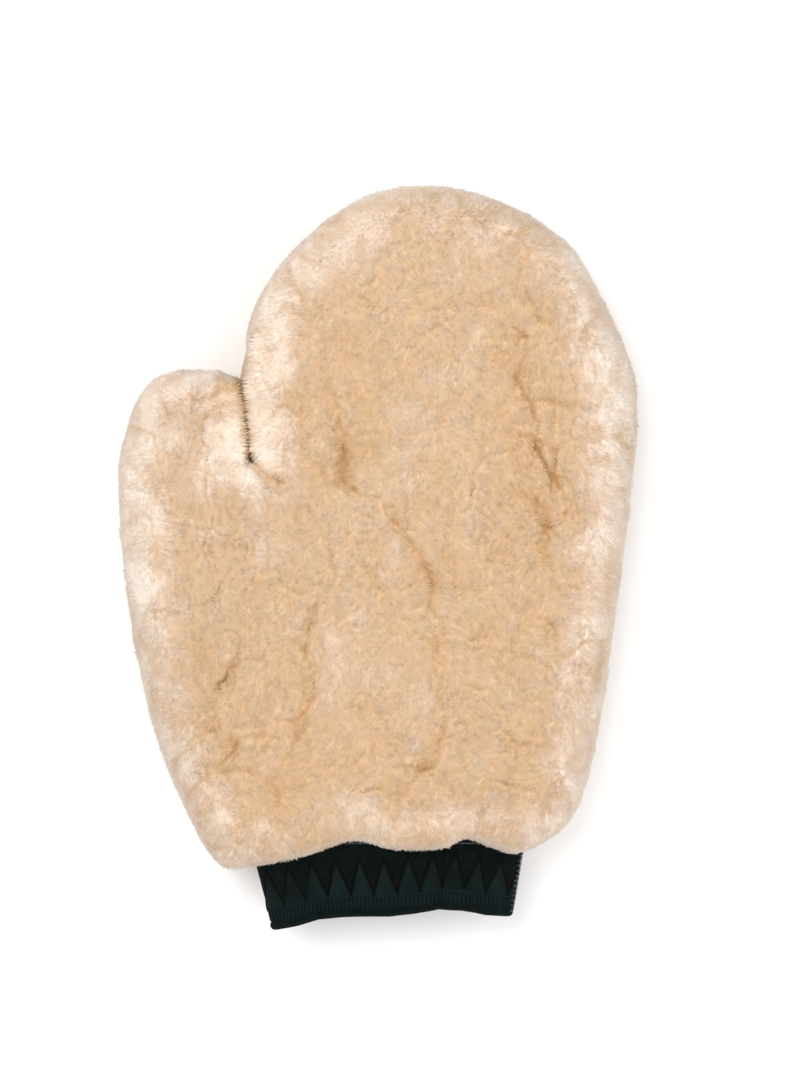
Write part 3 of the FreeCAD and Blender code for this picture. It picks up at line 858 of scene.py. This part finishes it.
def ribBand():
    turn, share = roundOval(1024)
    # share of the height and distance out in mm: down the ribs, round the hem's roll, up inside
    profile = np.array([(1.02, -0.5), (1.0, 0.3), (0.96, 0.75), (0.91, 0.6), (0.87, 0.1), (0.8, 0.1),
                        (0.7, 0.1), (0.6, 0.1), (0.5, 0.1), (0.42, 0.05), (0.37, -0.15), (0.33, 0.1),
                        (0.25, 0.55), (0.16, 0.65), (0.07, 0.45), (0.0, 0.0), (-0.03, -0.6),
                        (-0.02, -1.3), (0.04, -1.85), (0.12, -2.0), (0.19, -1.8), (0.22, -1.3),
                        (0.4, -1.2), (0.7, -1.2), (1.0, -1.2)])
    up, off = profile[:, :1], profile[:, 1:] * mm
    y = cadLow.y + 0.3 * mm + lowerEdge(turn)[None, :] + up * bandShape["ribHeight"]
    ribs = np.abs(np.cos(np.pi * bandShape["ribs"] * share))[None, :] ** 1.3
    onRibs = smooth(0.34, 0.46, up) * smooth(0.93, 0.86, up) * smooth(-0.5 * mm, 0, off)
    wobble = 0.25 * mm * noise(share[None, :] * 200 * mm + 0 * y, y * 0.3, 6 * mm, 72, 2)
    swell = off + bandShape["ribDepth"] * (ribs - 0.6) * onRibs + wobble * (off > -0.3 * mm)
    # lighter on the rib crests and darker between the ribs: painted highlight and painted shade; lighter
    # again along the top of the ribbing
    shape = np.where(onRibs > 0.5, ribs * 0.9 - 0.1, 0.12) + 0.9 * smooth(0.90, 0.96, up) + 0 * swell
    return cuffPoint(turn[None, :], y, swell), shape


def innerLayer():
    turn, share = roundOval(300)
    down = np.concatenate([np.linspace(1, 0, 40), np.linspace(0, 1, 12)])[:, None]
    outside = (np.arange(52) < 40)[:, None]
    low = cadLow.y + 1.2 * mm + lowerEdge(turn)[None, :]
    y = low + (cuffHigh.y - low) * down
    ribs = 0.12 * mm * np.cos(2 * np.pi * 90 * share)[None, :]
    swell = np.where(outside, -2.1 * mm, -3.0 * mm + ribs)
    return cuffPoint(turn[None, :], y, swell), 0.3 + 0 * y


def elasticRing():
    # the band of elastic inside the hem: a flat ring between the knitted layers
    turn, _ = roundOval(240)
    up = np.array([5.2, 3.2, 1.4, 1.4, 3.2, 5.2])[:, None] * mm
    swell = np.array([-1.4, -1.35, -1.4, -1.85, -1.9, -1.85])[:, None] * mm
    y = cadLow.y + 0.6 * mm + lowerEdge(turn)[None, :] + up
    return cuffPoint(turn[None, :], y, swell), 0 * y


def threadAlong(name, path, radius, sides, material):
    # a round thread carried along a path: circles across the path's direction, capped by closing up
    along = np.gradient(path, axis=0)
    along /= np.linalg.norm(along, axis=1)[:, None]
    across = np.cross(along, [0.3, 0.2, 0.93])
    across /= np.linalg.norm(across, axis=1)[:, None]
    upward = np.cross(across, along)
    turn = 2 * np.pi * np.arange(sides) / sides
    radii = radius * np.minimum(1, np.array([0.02] + [1] * (len(path) - 2) + [0.02]))[:, None, None]
    rings = path[:, None] + radii * (np.cos(turn)[:, None] * across[:, None]
                                     + np.sin(turn)[:, None] * upward[:, None])
    faces = gridFaces(len(path), sides, False, True)
    caps = np.array([np.arange(sides), (len(path) - 1) * sides + np.arange(sides)[::-1]])
    made = buildMesh(name, rings.reshape(-1, 3), [faces, caps], material)
    return made


sideSeam = {"stitches": 15, "reach": 1.5 * mm, "radius": 0.28 * mm}


def sideStitches():
    # an overlock thread that swings to and fro over the side seam from the hem to the wool
    t = np.linspace(0, 1, sideSeam["stitches"] * 12)
    y = cadLow.y + 7.5 * mm + (cuffHigh.y - 9 * mm - cadLow.y - 7.5 * mm) * t
    swing = np.sin(2 * np.pi * sideSeam["stitches"] * t)
    turn = 0.02 + sideSeam["reach"] * swing / cuff["halfHeight"]
    return cuffPoint(turn, y, (0.35 + 0.35 * np.cos(4 * np.pi * sideSeam["stitches"] * t)) * mm)


def joinStitches():
    # the thread that joins the cuff to the skins, sunk into the knit under the wool's edge
    low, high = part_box("cuff_join_seam")
    turn, _ = roundOval(400)
    turn = np.append(turn, turn[0] + 2 * np.pi)
    return cuffPoint(turn, (low.y + high.y) / 2, 0.05 * mm + 0.15 * mm * np.sin(90 * turn))


print("camera and light")
addCamera()
addLights()

print("wool")
woolMaterial = makeWool()
handWool, handOuter = woolBase("hand_wool", "hand", wool["handGrid"], wool["handCentre"], woolMaterial)
thumbWool, thumbOuter = woolBase("thumb_wool", "thumb", wool["thumbGrid"], wool["thumbCentre"],
                                 woolMaterial)
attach(handWool, "hand")
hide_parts("palm_fleece", "back_fleece")
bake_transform(thumbWool)
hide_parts("thumb_palm_fleece", "thumb_back_fleece")

print("locks")
for body, outer in (("hand", handOuter), ("thumb", thumbOuter)):
    roots = lockRoots(outer, locks[body])
    order = np.lexsort((np.floor(roots[:, 1] / (6 * mm)), roots[:, 2] > midHeight))
    points, tone, normals = lockShapes(roots[order], edgeLine[body])
    parts = math.ceil(len(points) / locks["perPiece"])
    for number, chosen in enumerate(np.array_split(np.arange(len(points)), parts)):
        piece = buildLocks(f"{body}_locks_{number + 1}", points[chosen], tone[chosen], normals[chosen],
                           woolMaterial)
        if body == "hand":
            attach(piece, "hand")
        else:
            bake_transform(piece)

print("cuff")
band = closedTube("cuff_band", *zigzagBand(), makeKnit("zigzag knit", (0.0015, 0.0025, 0.0026),
                  (0.0095, 0.0235, 0.0230), 1100, 260), "cuff_knit")
rib = closedTube("cuff_rib", *ribBand(), makeKnit("rib knit", (0.0018, 0.0034, 0.0036),
                 (0.0085, 0.0220, 0.0225), 1600, 60), "cuff_rib")
lining = closedTube("cuff_lining", *innerLayer(), makeKnit("lining knit", (0.004, 0.008, 0.008),
                    (0.012, 0.024, 0.023), 900, 160), "cuff_lining")
elastic = closedTube("hem_elastic", *elasticRing(),
                     makeThread("elastic braid", (0.50, 0.50, 0.48), (0.66, 0.66, 0.64)), "elastic")
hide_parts("cuff_zigzag_band")
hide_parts("cuff_rib_band")
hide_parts("cuff_inner_layer")
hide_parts("cuff_elastic")
seam = threadAlong("cuff_side_stitches", sideStitches(), sideSeam["radius"], 6,
                   makeThread("overlock thread", (0.006, 0.014, 0.013), (0.30, 0.28, 0.22), 0.60, 0.70))
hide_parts("cuff_side_seam")
joining = threadAlong("cuff_join_stitches", joinStitches(), 0.45 * mm, 6,
                      makeThread("cuff join thread", (0.006, 0.013, 0.012), (0.024, 0.042, 0.038)))
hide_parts("cuff_join_seam")
for piece in (band, rib, lining, elastic, seam, joining):
    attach(piece, "hand")

print("kept nodes")
suede = makeSuede()
kept = {
    "palm_hide": suede, "back_hide": suede, "thumb_palm_hide": suede, "thumb_back_hide": suede,
    "hand_edge_seam": makeThread("seam thread", (0.60, 0.52, 0.40), (0.74, 0.66, 0.54)),
}
kept["thumb_edge_seam"] = kept["hand_edge_seam"]
for nodeName, material in kept.items():
    data = frame["nodes"][nodeName].data
    data.materials.clear()
    data.materials.append(material)


def addFloor():
    reach = 6.0
    corners = [(-reach, -reach, 0), (reach, -reach, 0), (reach, reach, 0), (-reach, reach, 0)]
    board = Board("pale table")
    tone = board.ramp(board.noise(0.35, 2.0), [(0.3, (0.93, 0.93, 0.93)), (0.7, (0.95, 0.95, 0.95))])
    floor = buildMesh("table_top", np.array(corners, float), [np.array([[0, 1, 2, 3]])],
                      board.finish({"Base Color": tone, "Roughness": 0.8}))


addFloor()
print("finishing")
